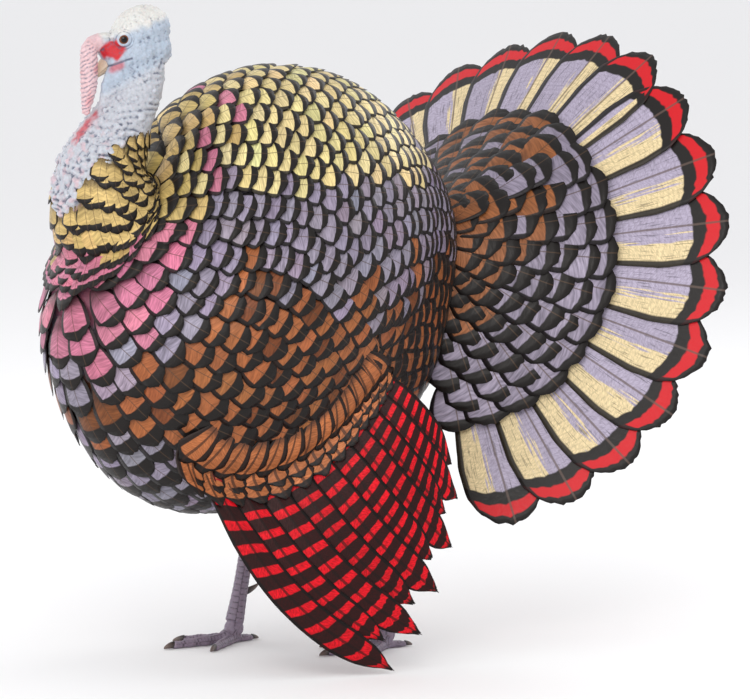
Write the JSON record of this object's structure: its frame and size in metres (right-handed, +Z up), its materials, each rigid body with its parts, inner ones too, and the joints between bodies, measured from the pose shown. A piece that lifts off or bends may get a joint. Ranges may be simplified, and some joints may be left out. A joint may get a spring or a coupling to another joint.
{
  "type": "wild turkey gobbler",
  "caption": "Life-size wild turkey gobbler in strut, with fanned tail, drooped wings and drawn-back neck, standing on both feet.",
  "frame": {"origin": "middle of the bounding box on the floor, under the bird", "axes": "the bird faces -Y, its left side is +X, +Z is up"},
  "size_m": [0.7232, 0.906, 0.8992],
  "materials": {
    "contour_feathers": "overlapping body feathers with dark edges and a silky lustre",
    "covert_feathers": "copper and brown covert feathers with dark edges",
    "barred_flight_feathers": "stiff red flight feathers with dark bars",
    "banded_tail_feathers": "tail feathers of lavender and cream with a dark band and a red tip",
    "bare_skin": "bare wrinkled skin, pale with red patches",
    "leg_scales": "horny leg scales, satin",
    "horn": "polished horn",
    "eye": "wet and glossy"
  },
  "bodies": {
    "root": {"trunk": "contour_feathers", "neck_base": "contour_feathers", "neck_upper": "bare_skin", "head": "bare_skin", "snood": "bare_skin", "bill_upper": "horn", "bill_lower": "horn", "eye_left": "eye", "eye_right": "eye", "tail_fan": "banded_tail_feathers", "tail_coverts_upper": "covert_feathers", "tail_coverts_under": "covert_feathers", "wing_left_coverts": "covert_feathers", "wing_left_primaries": "barred_flight_feathers", "wing_left_secondaries": "barred_flight_feathers", "thigh_left": "contour_feathers", "shank_left": "leg_scales", "foot_left": "leg_scales", "spur_left": "horn", "claw_left_inner": "horn", "claw_left_middle": "horn", "claw_left_outer": "horn", "claw_left_hind": "horn", "wing_right_coverts": "covert_feathers", "wing_right_primaries": "barred_flight_feathers", "wing_right_secondaries": "barred_flight_feathers", "thigh_right": "contour_feathers", "shank_right": "leg_scales", "foot_right": "leg_scales", "spur_right": "horn", "claw_right_inner": "horn", "claw_right_middle": "horn", "claw_right_outer": "horn", "claw_right_hind": "horn"}
  },
  "joints": []
}
